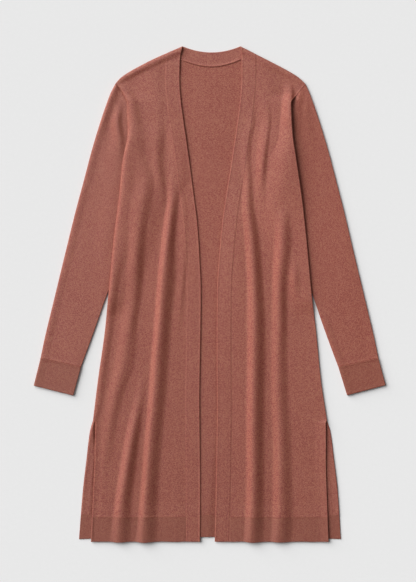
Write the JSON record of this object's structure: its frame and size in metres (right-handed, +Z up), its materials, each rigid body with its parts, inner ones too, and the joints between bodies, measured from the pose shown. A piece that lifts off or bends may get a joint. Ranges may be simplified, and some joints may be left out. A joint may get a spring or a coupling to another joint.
{
  "type": "duster cardigan",
  "caption": "Long open-front knitted duster cardigan with banded front edges and neck, ribbed cuffs and hem and side slits, laid flat on its back with straight sleeves.",
  "frame": {"origin": "bottom centre of the bounding box, on the surface that the garment lies on", "axes": "+X across to the right of someone who looks at the front, +Y along the garment towards the collar, +Z up from the surface, out of the front"},
  "size_m": [0.71, 1.0022, 0.0139],
  "materials": {
    "knit": "matte fine-gauge heathered jersey",
    "band": "matte doubled fine-gauge jersey band",
    "rib": "matte fine one-by-one rib"
  },
  "bodies": {
    "root": {"back_panel": "knit", "hem_band_back": "rib", "neck_band": "band", "front_panel_left": "knit", "front_panel_right": "knit", "hem_band_front_left": "rib", "hem_band_front_right": "rib", "front_band_left": "band", "front_band_right": "band", "sleeve_left": "knit", "sleeve_right": "knit", "cuff_left": "rib", "cuff_right": "rib"}
  },
  "joints": []
}
